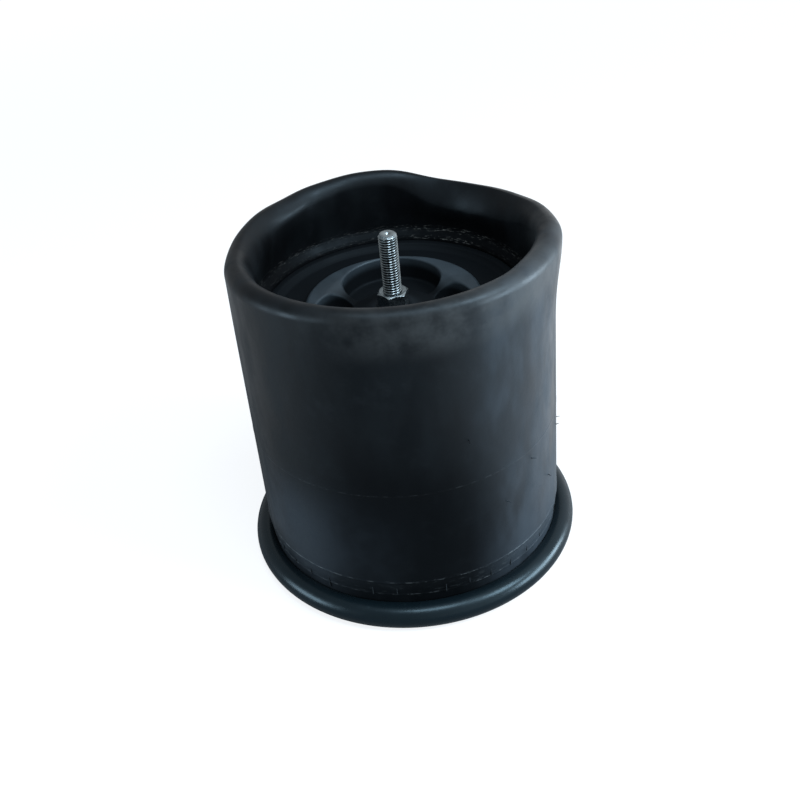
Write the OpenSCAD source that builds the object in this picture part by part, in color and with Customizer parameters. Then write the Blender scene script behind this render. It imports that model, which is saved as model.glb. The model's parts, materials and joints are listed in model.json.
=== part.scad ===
// Rolling-lobe air suspension spring, standing on its bead plate with the lobe up.
// The origin is the centre of the bead plate's outer face. +Z runs along the axis to the piston stud.

/* [Bead plate] */
// Outside diameter of the rolled rim
rim_d = 229; // [215:1:245]
// Thickness of the rolled rim
rim_thick = 17; // [16.5:0.5:19]
// Thickness of the pressed steel sheet
plate_t = 3; // [2:0.5:3.5]
// Where the rolled lip ends, in degrees over the bead from the outside
rim_lip_angle = 118; // [105:1:120]

/* [Bead plate fittings] */
// Distance between the two blind nuts
nut_spacing = 157.5; // [140:0.5:160]
// Distance of the air inlet from the axis
inlet_offset = 44.5; // [42:0.5:50]
// Minor diameter of the blind nut thread, M12
blind_thread_d = 10.2; // [8.5:0.1:12]
// Depth of the blind nut thread
blind_thread_depth = 17; // [12:0.5:20]
// Minor diameter of the air inlet thread, M16 x 1.5
inlet_thread_d = 14.5; // [10.5:0.1:16]
// Height of the air inlet boss inside the plate
inlet_boss_h = 13; // [8:0.5:16]

/* [Sleeve] */
// How far the neck stands inside the centre of the bead
neck_inset = 4.5; // [4.3:0.1:4.7]
// How far the wall bulges out from the neck
neck_flare = 1.5; // [0.5:0.1:3]
// Height of the neck over the rim
neck_h = 17; // [10:1:25]
// Height of the lobe's crest
crest_h = 232; // [215:1:260]
// Width of the fold over both walls
lobe_w = 14.25; // [13:0.25:16]
// Thickness of the rubber cover
cover_t = 1.3; // [1:0.1:1.6]
// Thickness of each cord ply
ply_t = 1; // [0.8:0.1:1.2]
// Thickness of the inner liner
liner_t = 1.2; // [0.8:0.1:1.4]
// Diameter of one bead wire
wire_d = 1.8; // [1.2:0.1:2]

/* [Travel] */
// How far the piston end travels towards the bead plate
jounce = 90; // [60:1:92]
// How far the piston end travels away from it
rebound = 50; // [20:1:50]

/* [End plate] */
// Depth of the ring's top under the crest
end_depth = 46; // [42:1:56]
// Outside diameter of the raised ring
ring_d = 114; // [108:1:122]
// Width of the ring's flat land
ring_land = 7; // [5:0.5:9]
// Thinnest stretch of ring behind a pocket
ring_wall = 3; // [2:0.5:5]
// Diameter of the hub
hub_d = 56; // [46:1:60]
// How far the nut's seat lies under the ring's top
seat_drop = 6; // [4:0.5:8]
// Thickness of the plate at the hub
hub_t = 14; // [12:0.5:18]
// Number of spokes
spokes = 3; // [3:1:3]
// Width of a spoke
spoke_w = 5; // [3:0.5:8]
// Radius of a pocket's far wall
pocket_r = 33; // [28:0.5:35]
// Rounding of a pocket's corners
pocket_round = 6; // [3:0.5:7]
// Thickness of a pocket's floor
pocket_floor = 4; // [3:0.5:6]
// Gap between the inner wall and the plate's edge
edge_inset = 4.5; // [3.5:0.5:6]
// Thickness of the plate's edge
edge_t = 3; // [2:0.5:4]

/* [Stud and bumper] */
// Major diameter of the stud's thread, M12
stud_d = 12; // [10:0.5:14]
// Height of the stud's end over the nut's seat
stud_out = 51; // [40:1:60]
// Width of the nut across its flats
nut_af = 18; // [17:0.5:22]
// Height of the nut
nut_h = 10.8; // [8:0.2:12]
// Thickness of the clamp plate
clamp_t = 3; // [2:0.5:4]
// Thickness of the bumper's steel plate
bumper_plate_t = 4; // [3:0.5:6]
// Diameter of the bumper at its plate
bumper_d = 60; // [50:1:62]
// Length of the bumper
bumper_h = 61; // [50:1:66]

/* [Hidden] */
$fn = 96;
// Gap between pieces that are pressed or moulded together
seat_gap = 0.1;
// Gap between the stretches of sleeve that move apart
roll_gap = 0.3;
// A little more than a cut needs
over = 0.5;

rim_r = rim_d / 2;
rim_tube_r = rim_thick / 2;
bead_r = rim_r - rim_tube_r;
bead_z = rim_tube_r;
bead_tube_r = rim_tube_r - plate_t - seat_gap;
plate_in_z = plate_t + seat_gap;
pilot_wall = 3;
blind_corner_d = 25.4;
blind_end_t = 3;
inlet_body_r = inlet_thread_d / 2 + 6;

neck_r = bead_r - neck_inset;
wall_r = neck_r + neck_flare;
neck_bottom = rim_thick;
neck_top = neck_bottom + neck_h;
fold_r = lobe_w / 2;
fold_centre_r = wall_r - fold_r;
fold_z = crest_h - fold_r;
inner_r = wall_r - lobe_w;
// Short straight legs under the fold
lobe_leg = 6;
lobe_bottom = fold_z - lobe_leg;
// Depths of the layers under the cover's face
ply_1 = cover_t;
ply_2 = cover_t + ply_t;
liner_1 = cover_t + 2 * ply_t;
wall_t = liner_1 + liner_t;
bundle_pitch = wire_d + 0.2;
bundle_r = bundle_pitch + wire_d / 2;
// Outside radius of the plies where they turn round the wires
turn_r = bundle_r + seat_gap + 2 * ply_t;
turn_up = 3;
bead_skin = 0.4;
large_wire_r = neck_r - liner_1 + turn_r;
large_wire_z = plate_in_z + bead_skin + turn_r;
bead_top = large_wire_z + bundle_r + seat_gap;
// The lobe never rolls below this height, so the wall under it stays as it is
wall_top = lobe_bottom - roll_gap - jounce / 2;

ring_z = crest_h - end_depth;
ring_r = ring_d / 2;
hub_r = hub_d / 2;
seat_z = ring_z - seat_drop;
hub_edge_drop = 4;
hub_bevel = 0.8;
hub_edge_z = seat_z - hub_edge_drop;
hub_flat_r = nut_af / sqrt(3) + 3;
under_z = seat_z - hub_t;
pocket_z = under_z + pocket_floor;
ring_edge_round = 2.5;
groove_z = ring_z - 6.5;
groove_slope = 3;
edge_r = inner_r - edge_inset;
edge_top = ring_z - 2.5;
edge_under = edge_top - edge_t;
edge_round = 1.2;
edge_land = 5;
seat_overhang = 5;
seat_taper = 1.2;
bead_seat_r = edge_r - seat_overhang;
pocket_reach = ring_r - ring_wall;
pocket_offset = pocket_reach - pocket_r;

stud_r = stud_d / 2;
stud_end = seat_z + stud_out;
// Pitch radius, where the stud and nut threads meet
engaged_r = stud_r - 0.57;
stud_hole_r = stud_r + 0.2;
stud_chamfer = 1.2;
centre_drill_r = 1.6;
nut_corner_r = nut_af / sqrt(3);
nut_chamfer = 1.1;
seal_r = 1.2;
seal_z = under_z + 4;
clamp_bottom = under_z - clamp_t;
bumper_plate_bottom = clamp_bottom - bumper_plate_t;
bumper_tip = bumper_plate_bottom - bumper_h;

small_wire_r = inner_r + liner_1 - turn_r;
small_wire_z = under_z + 2 * bead_skin + turn_r;
small_bead_round = 5;
shoulder_h = 9;
shoulder_top = min(edge_top + shoulder_h, lobe_bottom - roll_gap - rebound / 2);

RUBBER = "#1c1f21";
PLY = "#5b5648";
LINER = "#26282a";
PAINT = "#101519";
STEEL = "#8d9398";
ZINC = "#b9c0c2";
NYLON = "#23272b";

// Points on an arc of radius r about (x, y), from angle a to angle b
function arc(x, y, r, a, b, steps = 8) =
    [for (i = [0 : steps]) let (t = a + (b - a) * i / steps) [x + r * cos(t), y + r * sin(t)]];

function reversed(list) = [for (i = [len(list) - 1 : -1 : 0]) list[i]];

function smooth(t) = t * t * (3 - 2 * t);

// Radius of the outer wall's face at height z: narrow in the rim, wider over the neck
function wall_face(z) =
    z <= neck_bottom ? neck_r :
    z >= neck_top ? wall_r :
    neck_r + neck_flare * smooth((z - neck_bottom) / neck_h);

// Heights at which the wall's outline has points
function wall_heights(from) = concat(
    [from, neck_bottom],
    [for (i = [1 : 7]) neck_bottom + neck_h * i / 8],
    [neck_top, wall_top]
);

// Outline of one layer of the wall that stays on the bead plate, between two depths under its face
module wall_layer(depth_1, depth_2, from) {
    heights = wall_heights(from);
    polygon(concat(
        [for (z = heights) [wall_face(z) - depth_1, z]],
        [for (z = reversed(heights)) [wall_face(z) - depth_2, z]]
    ));
}

// Outline of one layer of the wall that the lobe takes up as it rolls down
module outer_roll_layer(depth_1, depth_2) {
    top = lobe_bottom - roll_gap;
    translate([wall_r - depth_2, wall_top]) square([depth_2 - depth_1, top - wall_top]);
}

// Outline of one layer of the rolled lobe: a half ring on two short legs
module lobe_layer(depth_1, depth_2) {
    thick = depth_2 - depth_1;
    translate([fold_centre_r, fold_z])
        difference() {
            circle(r = fold_r - depth_1);
            circle(r = fold_r - depth_2);
            translate([-fold_r - over, -2 * fold_r])
                square([2 * (fold_r + over), 2 * fold_r]);
        }
    translate([wall_r - depth_2, lobe_bottom]) square([thick, lobe_leg]);
    translate([inner_r + depth_1, lobe_bottom]) square([thick, lobe_leg]);
}

// Outline of one layer of the inner wall that the lobe lays down as it rolls
module inner_roll_layer(depth_1, depth_2) {
    top = lobe_bottom - roll_gap;
    translate([inner_r + depth_1, shoulder_top]) square([depth_2 - depth_1, top - shoulder_top]);
}

// Seven wires in a round bundle, seen in section
module wire_bundle(r, z) {
    translate([r, z]) {
        circle(d = wire_d);
        for (turn = [0 : 60 : 300])
            rotate(turn) translate([bundle_pitch, 0]) circle(d = wire_d);
    }
}

// Both plies turned up round a bundle of wires; side says where the wall is: 1 outside, -1 inside
module ply_turn(r, z, side) {
    translate([r, z])
        difference() {
            circle(r = turn_r);
            circle(r = turn_r - 2 * ply_t);
            translate([-turn_r - over, 0]) square(2 * (turn_r + over));
        }
    translate([side > 0 ? r - turn_r : r + turn_r - 2 * ply_t, z]) square([2 * ply_t, turn_up]);
}

// Channel in a bead's rubber for a bundle of wires and the plies turned up round it
module bundle_channel(r, z, side) {
    leg_x = side > 0 ? r - turn_r : r + turn_r - 2 * ply_t;
    translate([r, z]) {
        circle(r = bundle_r + seat_gap / 2);
        difference() {
            circle(r = turn_r);
            translate([-turn_r - over, 0]) square(2 * (turn_r + over));
        }
    }
    translate([leg_x, z - over]) square([2 * ply_t, turn_up + over]);
}

// Pressed steel plate with its edge rolled round the sleeve's large bead
module bead_plate() {
    lip_x = rim_tube_r * 3;
    color(PAINT)
        difference() {
            rotate_extrude() {
                square([bead_r, plate_t]);
                translate([bead_r, bead_z])
                    difference() {
                        circle(r = rim_tube_r);
                        circle(r = rim_tube_r - plate_t);
                        polygon([
                            [0, 0],
                            [lip_x * cos(rim_lip_angle), lip_x * sin(rim_lip_angle)],
                            [-lip_x, lip_x],
                            [-lip_x, -lip_x],
                            [0, -lip_x]
                        ]);
                    }
            }
            for (side = [-1, 1])
                translate([side * nut_spacing / 2, 0, -over])
                    cylinder(r = blind_thread_d / 2 + pilot_wall, h = plate_t + 2 * over);
            translate([0, inlet_offset, -over])
                cylinder(r = inlet_thread_d / 2 + pilot_wall, h = plate_t + 2 * over);
        }
}

// One closed nut: a pilot through the plate, a hexagon inside and a thread open below
module blind_nut() {
    difference() {
        union() {
            cylinder(r = blind_thread_d / 2 + pilot_wall, h = plate_t);
            translate([0, 0, plate_t])
                cylinder(d = blind_corner_d, h = blind_thread_depth + blind_end_t - plate_t, $fn = 6);
        }
        translate([0, 0, -over]) cylinder(d = blind_thread_d, h = blind_thread_depth + over);
    }
}

module blind_nuts() {
    color(ZINC)
        for (side = [-1, 1])
            translate([side * nut_spacing / 2, 0, 0]) blind_nut();
}

module air_inlet_boss() {
    color(ZINC)
        translate([0, inlet_offset, 0])
            difference() {
                union() {
                    cylinder(r = inlet_thread_d / 2 + pilot_wall, h = plate_t);
                    translate([0, 0, plate_t]) cylinder(r = inlet_body_r, h = inlet_boss_h);
                }
                translate([0, 0, -over]) cylinder(d = inlet_thread_d, h = plate_t + inlet_boss_h + 2 * over);
            }
}

// Large bead of the sleeve, which the rim grips
module large_bead() {
    color(RUBBER)
        rotate_extrude()
            difference() {
                union() {
                    difference() {
                        translate([bead_r, bead_z]) circle(r = bead_tube_r);
                        translate([0, bead_top]) square([neck_r, rim_thick]);
                    }
                    translate([neck_r - ply_1, plate_in_z])
                        square([bead_r - neck_r + ply_1, bead_top - plate_in_z]);
                    translate([neck_r - liner_1, plate_in_z])
                        square([2 * ply_t + over, large_wire_z - plate_in_z]);
                }
                bundle_channel(large_wire_r, large_wire_z, -1);
            }
}

module large_bead_wires() {
    color(STEEL) rotate_extrude() wire_bundle(large_wire_r, large_wire_z);
}

module large_bead_plies() {
    color(PLY) rotate_extrude() ply_turn(large_wire_r, large_wire_z, -1);
}

module wall_cover() {
    color(RUBBER) rotate_extrude() wall_layer(0, ply_1, bead_top);
}

module wall_outer_ply() {
    color(PLY) rotate_extrude() wall_layer(ply_1, ply_2, large_wire_z);
}

module wall_inner_ply() {
    color(PLY) rotate_extrude() wall_layer(ply_2, liner_1, large_wire_z);
}

module wall_liner() {
    color(LINER) rotate_extrude() wall_layer(liner_1, wall_t, plate_in_z);
}

module outer_roll_cover() {
    color(RUBBER) rotate_extrude() outer_roll_layer(0, ply_1);
}

module outer_roll_outer_ply() {
    color(PLY) rotate_extrude() outer_roll_layer(ply_1, ply_2);
}

module outer_roll_inner_ply() {
    color(PLY) rotate_extrude() outer_roll_layer(ply_2, liner_1);
}

module outer_roll_liner() {
    color(LINER) rotate_extrude() outer_roll_layer(liner_1, wall_t);
}

module lobe_cover() {
    color(RUBBER) rotate_extrude() lobe_layer(0, ply_1);
}

module lobe_outer_ply() {
    color(PLY) rotate_extrude() lobe_layer(ply_1, ply_2);
}

module lobe_inner_ply() {
    color(PLY) rotate_extrude() lobe_layer(ply_2, liner_1);
}

module lobe_liner() {
    color(LINER) rotate_extrude() lobe_layer(liner_1, wall_t);
}

module inner_roll_cover() {
    color(RUBBER) rotate_extrude() inner_roll_layer(0, ply_1);
}

module inner_roll_outer_ply() {
    color(PLY) rotate_extrude() inner_roll_layer(ply_1, ply_2);
}

module inner_roll_inner_ply() {
    color(PLY) rotate_extrude() inner_roll_layer(ply_2, liner_1);
}

module inner_roll_liner() {
    color(LINER) rotate_extrude() inner_roll_layer(liner_1, wall_t);
}

// Section of the plies in the small bead: down the wall and up round the wires
module small_ply_section() {
    translate([inner_r + ply_1, small_wire_z]) square([2 * ply_t, shoulder_top - small_wire_z]);
    ply_turn(small_wire_r, small_wire_z, 1);
}

// Small bead: it fills the space between the clamp plate and the end plate's edge
module small_bead() {
    outer = inner_r + wall_t;
    color(RUBBER)
        rotate_extrude()
            difference() {
                polygon(concat(
                    [[bead_seat_r - seat_taper + seat_gap, under_z]],
                    arc(outer - small_bead_round, under_z + small_bead_round, small_bead_round, -90, 0),
                    [[outer, shoulder_top], [inner_r, shoulder_top]],
                    // The shoulder curves in from the wall to the plate's edge
                    [for (i = [1 : 6]) let (t = i / 6)
                        [inner_r - (edge_inset - seat_gap) * smooth(t),
                         shoulder_top - (shoulder_top - edge_top) * t]],
                    [
                        [edge_r + seat_gap, edge_under - seat_gap],
                        [bead_seat_r + seat_gap, edge_under - seat_gap]
                    ]
                ));
                translate([inner_r + ply_1, small_wire_z]) square([2 * ply_t, shoulder_top - small_wire_z]);
                bundle_channel(small_wire_r, small_wire_z, 1);
            }
}

module small_bead_wires() {
    color(STEEL) rotate_extrude() wire_bundle(small_wire_r, small_wire_z);
}

module small_bead_plies() {
    color(PLY) rotate_extrude() small_ply_section();
}

// Section of the end plate before its pockets are cut
module end_plate_section() {
    spoke_out = ring_r - ring_land - ring_edge_round;
    lip_in = edge_r - edge_land;
    polygon(concat(
        [
            [0, under_z],
            [0, seat_z],
            [hub_flat_r, seat_z],
            [hub_r - hub_bevel, hub_edge_z + hub_bevel / 2],
            [hub_r + hub_bevel, hub_edge_z]
        ],
        arc(spoke_out, ring_z - ring_edge_round * 3, ring_edge_round * 3, 135, 90, 5),
        arc(ring_r - ring_edge_round, ring_z - ring_edge_round, ring_edge_round, 90, 20, 5),
        [
            [ring_r + groove_slope, groove_z],
            [lip_in - groove_slope, groove_z]
        ],
        arc(lip_in, edge_top - edge_round, edge_round, 120, 90, 3),
        arc(edge_r - edge_round, edge_top - edge_round, edge_round, 90, 0, 5),
        [
            [edge_r, edge_under],
            [bead_seat_r, edge_under],
            [bead_seat_r - seat_taper, under_z]
        ]
    ));
}

// Kidney-shaped pocket between two spokes, seen from above and centred on +X
module pocket_outline() {
    half = 180 / spokes;
    aside = spoke_w / 2 + pocket_round;
    // Centre of the round corner, which touches the spoke and the far wall
    b = pocket_offset * cos(half);
    c = aside * aside - 2 * aside * pocket_offset * sin(half) + pocket_offset * pocket_offset
        - pow(pocket_r - pocket_round, 2);
    reach = b + sqrt(b * b - c);
    x = reach * cos(half) + aside * sin(half);
    y = reach * sin(half) - aside * cos(half);
    end = atan2(y, x - pocket_offset);
    start = hub_r / 2;
    far = 2 * pocket_r;
    // Straight sides of the outline's upper half, from inside the hub past the corner's centre
    side = [
        [start * cos(half) + spoke_w / 2 * sin(half), start * sin(half) - spoke_w / 2 * cos(half)],
        [x - pocket_round * sin(half), y + pocket_round * cos(half)],
        [x, y],
        [pocket_offset + far * cos(end), far * sin(end)]
    ];
    difference() {
        union() {
            intersection() {
                translate([pocket_offset, 0]) circle(r = pocket_r);
                polygon(concat([[0, 0]], [for (p = side) [p[0], -p[1]]], [[2 * far, 0]], reversed(side)));
            }
            for (turn = [-1, 1]) translate([x, turn * y]) circle(r = pocket_round);
        }
        circle(r = hub_r);
    }
}

// Moulded plate that closes the sleeve's small end and carries the piston
module end_plate() {
    color(NYLON)
        difference() {
            rotate_extrude() end_plate_section();
            for (k = [0 : spokes - 1])
                rotate([0, 0, 90 + 360 * k / spokes])
                    translate([0, 0, pocket_z])
                        linear_extrude(height = ring_z) pocket_outline();
            translate([0, 0, under_z - over]) cylinder(r = stud_hole_r, h = hub_t + 2 * over);
            translate([0, 0, seal_z - seal_r - seat_gap])
                cylinder(r = stud_r + 2 * seal_r, h = 2 * (seal_r + seat_gap));
        }
}

module stud_seal() {
    color(RUBBER) rotate_extrude() translate([stud_r + seal_r, seal_z]) circle(r = seal_r);
}

// Steel disc inside the sleeve that holds the small bead against the end plate
module bead_clamp_plate() {
    color(STEEL)
        translate([0, 0, clamp_bottom])
            difference() {
                cylinder(r = edge_r, h = clamp_t);
                translate([0, 0, -over]) cylinder(r = stud_hole_r, h = clamp_t + 2 * over);
            }
}

module bumper_plate() {
    color(STEEL)
        translate([0, 0, bumper_plate_bottom])
            difference() {
                cylinder(d = bumper_d, h = bumper_plate_t);
                translate([0, 0, -over]) cylinder(r = stud_r, h = bumper_plate_t + 2 * over);
            }
}

// Rubber stop bonded to its plate: a waisted cone with a round nose
module bumper() {
    base_r = bumper_d / 2;
    waist_r = base_r * 0.74;
    belly_r = base_r * 0.86;
    nose_r = base_r * 0.5;
    waist_z = bumper_plate_bottom - bumper_h * 0.4;
    belly_z = bumper_plate_bottom - bumper_h * 0.66;
    steps = 8;
    color(RUBBER)
        rotate_extrude()
            polygon(concat(
                [[0, bumper_plate_bottom], [base_r, bumper_plate_bottom]],
                [for (i = [1 : steps]) let (t = i / steps)
                    [base_r + (waist_r - base_r) * smooth(t),
                     bumper_plate_bottom + (waist_z - bumper_plate_bottom) * t]],
                [for (i = [1 : steps]) let (t = i / steps)
                    [waist_r + (belly_r - waist_r) * smooth(t), waist_z + (belly_z - waist_z) * t]],
                [for (i = [1 : steps]) let (t = 90 * i / steps)
                    [nose_r + (belly_r - nose_r) * cos(t), belly_z + (bumper_tip - belly_z) * sin(t)]],
                [[0, bumper_tip]]
            ));
}

// Stud of the bumper: plain in the plates, at its pitch radius in the nut, and threaded beyond it
module piston_stud() {
    nut_top = seat_z + nut_h;
    color(ZINC)
        rotate_extrude()
            polygon([
                [0, bumper_plate_bottom],
                [stud_r, bumper_plate_bottom],
                [stud_r, seat_z],
                [engaged_r, seat_z],
                [engaged_r, nut_top],
                [stud_r, nut_top],
                [stud_r, stud_end - stud_chamfer],
                [stud_r - stud_chamfer, stud_end],
                [centre_drill_r, stud_end],
                [0, stud_end - centre_drill_r]
            ]);
}

// Hexagon nut with chamfered corners
module piston_nut() {
    color(ZINC)
        translate([0, 0, seat_z])
            difference() {
                intersection() {
                    rotate([0, 0, 13]) cylinder(r = nut_corner_r, h = nut_h, $fn = 6);
                    rotate_extrude()
                        polygon([
                            [0, 0],
                            [nut_corner_r - nut_chamfer, 0],
                            [nut_corner_r, nut_chamfer / 2],
                            [nut_corner_r, nut_h - nut_chamfer / 2],
                            [nut_corner_r - nut_chamfer, nut_h],
                            [0, nut_h]
                        ]);
                }
                translate([0, 0, -over]) cylinder(r = engaged_r, h = nut_h + 2 * over);
            }
}

bead_plate();
blind_nuts();
air_inlet_boss();
large_bead();
large_bead_wires();
large_bead_plies();
wall_cover();
wall_outer_ply();
wall_inner_ply();
wall_liner();
outer_roll_cover();
outer_roll_outer_ply();
outer_roll_inner_ply();
outer_roll_liner();
lobe_cover();
lobe_outer_ply();
lobe_inner_ply();
lobe_liner();
inner_roll_cover();
inner_roll_outer_ply();
inner_roll_inner_ply();
inner_roll_liner();
small_bead();
small_bead_wires();
small_bead_plies();
end_plate();
bead_clamp_plate();
stud_seal();
bumper_plate();
bumper();
piston_stud();
piston_nut();
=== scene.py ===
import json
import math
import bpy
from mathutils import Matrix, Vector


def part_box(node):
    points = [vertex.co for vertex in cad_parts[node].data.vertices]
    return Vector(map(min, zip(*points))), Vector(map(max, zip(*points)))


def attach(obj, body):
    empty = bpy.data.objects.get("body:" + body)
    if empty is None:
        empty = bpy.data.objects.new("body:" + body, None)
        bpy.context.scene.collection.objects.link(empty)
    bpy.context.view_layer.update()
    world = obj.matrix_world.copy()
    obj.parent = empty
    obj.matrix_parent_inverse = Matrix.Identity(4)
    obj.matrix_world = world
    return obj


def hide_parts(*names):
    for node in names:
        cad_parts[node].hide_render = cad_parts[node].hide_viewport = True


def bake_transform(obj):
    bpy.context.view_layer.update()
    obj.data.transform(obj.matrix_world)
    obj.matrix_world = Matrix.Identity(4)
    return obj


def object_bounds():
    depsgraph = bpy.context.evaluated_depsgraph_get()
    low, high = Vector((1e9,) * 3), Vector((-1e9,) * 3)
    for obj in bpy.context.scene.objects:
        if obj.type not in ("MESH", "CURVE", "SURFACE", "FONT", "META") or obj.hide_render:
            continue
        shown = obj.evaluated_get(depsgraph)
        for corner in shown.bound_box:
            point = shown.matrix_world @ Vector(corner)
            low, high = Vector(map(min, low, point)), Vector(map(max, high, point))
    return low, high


bl_info = {
    "name": "Air Suspension Spring",
    "version": (1, 0, 0),
    "blender": (4, 5, 0),
    "location": "View3D > Sidebar > Air Spring",
    "description": "Dresses the packed model of a rolling-lobe air spring, and sets up its stage",
    "category": "Object",
}

import bmesh
import bpy
import numpy as np
from bpy.props import FloatProperty, IntProperty, PointerProperty, StringProperty
from mathutils import Matrix, Vector
from mathutils.geometry import delaunay_2d_cdt

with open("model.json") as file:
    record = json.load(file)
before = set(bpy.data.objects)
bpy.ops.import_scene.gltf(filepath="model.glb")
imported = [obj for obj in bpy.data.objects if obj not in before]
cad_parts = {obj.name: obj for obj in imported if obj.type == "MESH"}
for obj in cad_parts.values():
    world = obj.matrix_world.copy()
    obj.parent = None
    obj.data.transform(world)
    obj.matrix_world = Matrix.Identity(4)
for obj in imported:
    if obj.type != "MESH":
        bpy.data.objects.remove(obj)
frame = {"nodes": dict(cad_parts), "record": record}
CAD_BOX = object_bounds()

MM = 0.001
TURN = 2 * math.pi


def reach(node):
    """Smallest and largest distance of a node's points from the spring's axis."""
    radii = [math.hypot(v.co.x, v.co.y) for v in frame["nodes"][node].data.vertices]
    return min(radii), max(radii)


def low(node):
    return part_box(node)[0].z


def high(node):
    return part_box(node)[1].z


# Sizes that the frame gives
WALL_R = reach("outer_roll_cover")[1]
COVER_T = WALL_R - reach("outer_roll_cover")[0]
NECK_R = reach("wall_cover")[0] + COVER_T
INNER_R = reach("inner_roll_cover")[0]
RIM_TOP = high("bead_plate")
CREST_Z = high("lobe_cover")
SHOULDER_Z = low("inner_roll_cover")
EDGE_R = reach("end_plate")[1]
RING_Z = high("end_plate")
STUD_R = reach("piston_stud")[1]
STUD_TOP = high("piston_stud")

# The mould's parts meet where the neck starts and where the flare over it ends
NECK_LINE = RIM_TOP + 6 * MM
NECK_TOP = RIM_TOP + 17 * MM
# The two skins of the sleeve meet just past the crest of the lobe
SEAM_PAST_CREST = 2 * MM
# The inner wall's hidden end, inside the small bead
TAIL_Z = SHOULDER_Z - 14 * MM
# How far the inner wall lies behind the small bead's face
TAIL_INSET = 0.2 * MM
# From this height up the wall leans towards the slack lobe's lip
LEAN_Z = 150 * MM
# The attribute in which a piece keeps where its points lie at rest
REST_PLACE = "rest_place"

# The empty lobe is slack. These stand evenly round the axis, from +X through +Y, in millimetres:
# height of the crest over the drawn one, radius outside and inside the fold, depth of the fold's two sides,
# and how straight its inner side slopes: 1 is an ellipse, and 2 a straight slope down to a crease.
CREST_RISE = (-1.5, -5, -7, -0.3, -1.2, -2, -3.5, -1, 1, 1.5, 1, -0.5)
FOLD_OUTSIDE = (107.5, 106, 101.5, 101.5, 102, 102, 102.5, 103, 103, 103, 103, 104.5)
FOLD_INSIDE = (90.5, 87, 85, 89, 87.5, 85.5, 85, 87, 88.5, 88.75, 88.75, 88.5)
OUTSIDE_DEPTH = (8, 9, 11, 8, 9, 9, 9, 8, 7, 7, 7, 8)
INSIDE_DEPTH = (9, 16, 17, 9, 10, 14, 16, 10, 7, 7, 7, 7)
INSIDE_SLOPE = (1.15, 1.5, 1.6, 1.2, 1.1, 1.2, 1.2, 1, 1, 1, 1, 1)


class SleeveSettings(bpy.types.PropertyGroup):
    slack: FloatProperty(
        name="Slack",
        description="How far the empty lobe departs from a round one, as a share of the photographed sag",
        default=1.0, min=0.0, max=1.3, subtype="FACTOR")
    line_height: FloatProperty(
        name="Mould line height",
        description="Height of the mould's parting line over the bead plate",
        default=106 * MM, min=60 * MM, max=140 * MM, unit="LENGTH")
    line_rise: FloatProperty(
        name="Mould line rise",
        description="How far a parting line stands out of the rubber",
        default=0.12 * MM, min=0.0, max=0.6 * MM, unit="LENGTH")
    flash_count: IntProperty(
        name="Flash marks",
        description="Number of places round the neck where the mould's segments leave an upright flash mark",
        default=40, min=8, max=80)
    vent_count: IntProperty(
        name="Vent whiskers",
        description="Number of vents round the mould; those on the right have left a whisker",
        default=26, min=0, max=60)
    colour: StringProperty(
        name="Rubber colour",
        description="Colour of clean moulded rubber, as an sRGB hex value",
        default="#08090b")


class PlateSettings(bpy.types.PropertyGroup):
    pocket_radius: FloatProperty(
        name="Pocket edge radius",
        description="Rounding of the moulded edge round each pocket of the end plate",
        default=1.5 * MM, min=0.5 * MM, max=2 * MM, unit="LENGTH")
    colour: StringProperty(
        name="Nylon colour",
        description="Colour of the end plate's moulded nylon, as an sRGB hex value",
        default="#283036")
    paint: StringProperty(
        name="Paint colour",
        description="Colour of the bead plate's paint, as an sRGB hex value",
        default="#0a1318")


class StudSettings(bpy.types.PropertyGroup):
    pitch: FloatProperty(
        name="Thread pitch",
        description="Distance from one crest of the M12 threads to the next",
        default=1.75 * MM, min=1 * MM, max=2.5 * MM, unit="LENGTH")
    colour: StringProperty(
        name="Zinc colour",
        description="Colour of the zinc plate, as an sRGB hex value",
        default="#9ca8ad")


class StageSettings(bpy.types.PropertyGroup):
    lamp_power: FloatProperty(
        name="Lamp power",
        description="Base power of the soft lamps, in watts, of which each has its own multiple",
        default=11.0, min=0.0, max=100.0)
    lens: FloatProperty(
        name="Lens",
        description="Focal length of the camera, in millimetres on a 36 mm sensor",
        default=50.75, min=20.0, max=120.0)


def settings(kind):
    return getattr(bpy.context.scene, "air_spring_" + kind)


def add_object(name, data):
    """Makes an object of this data and puts it in the scene."""
    obj = bpy.data.objects.new(name, data)
    bpy.context.scene.collection.objects.link(obj)
    return obj


def divided_turn(steps):
    """Angles that divide one turn into this many steps."""
    return np.arange(steps) * TURN / steps


def linear(hex_colour):
    """Linear RGBA of an sRGB hex colour."""
    parts = [int(hex_colour[i:i + 2], 16) / 255 for i in (1, 3, 5)]
    return tuple(c / 12.92 if c <= 0.04045 else ((c + 0.055) / 1.055) ** 2.4 for c in parts) + (1.0,)


def per_mm(size):
    """Scale of a texture whose features are this many millimetres across, on coordinates in metres."""
    return 1000 / size


def add_node(tree, kind, inputs=(), output=0, **values):
    """Adds a node with its settings and gives one of its outputs. Its inputs, in order or by name or number,
    are sockets, plain values or sRGB hex colours."""
    node = tree.nodes.new(kind)
    for name, value in values.items():
        setattr(node, name, value)
    for key, value in inputs.items() if isinstance(inputs, dict) else enumerate(inputs):
        if isinstance(value, bpy.types.NodeSocket):
            tree.links.new(value, node.inputs[key])
        else:
            node.inputs[key].default_value = linear(value) if isinstance(value, str) else value
    return node.outputs[output] if node.outputs else node


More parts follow.
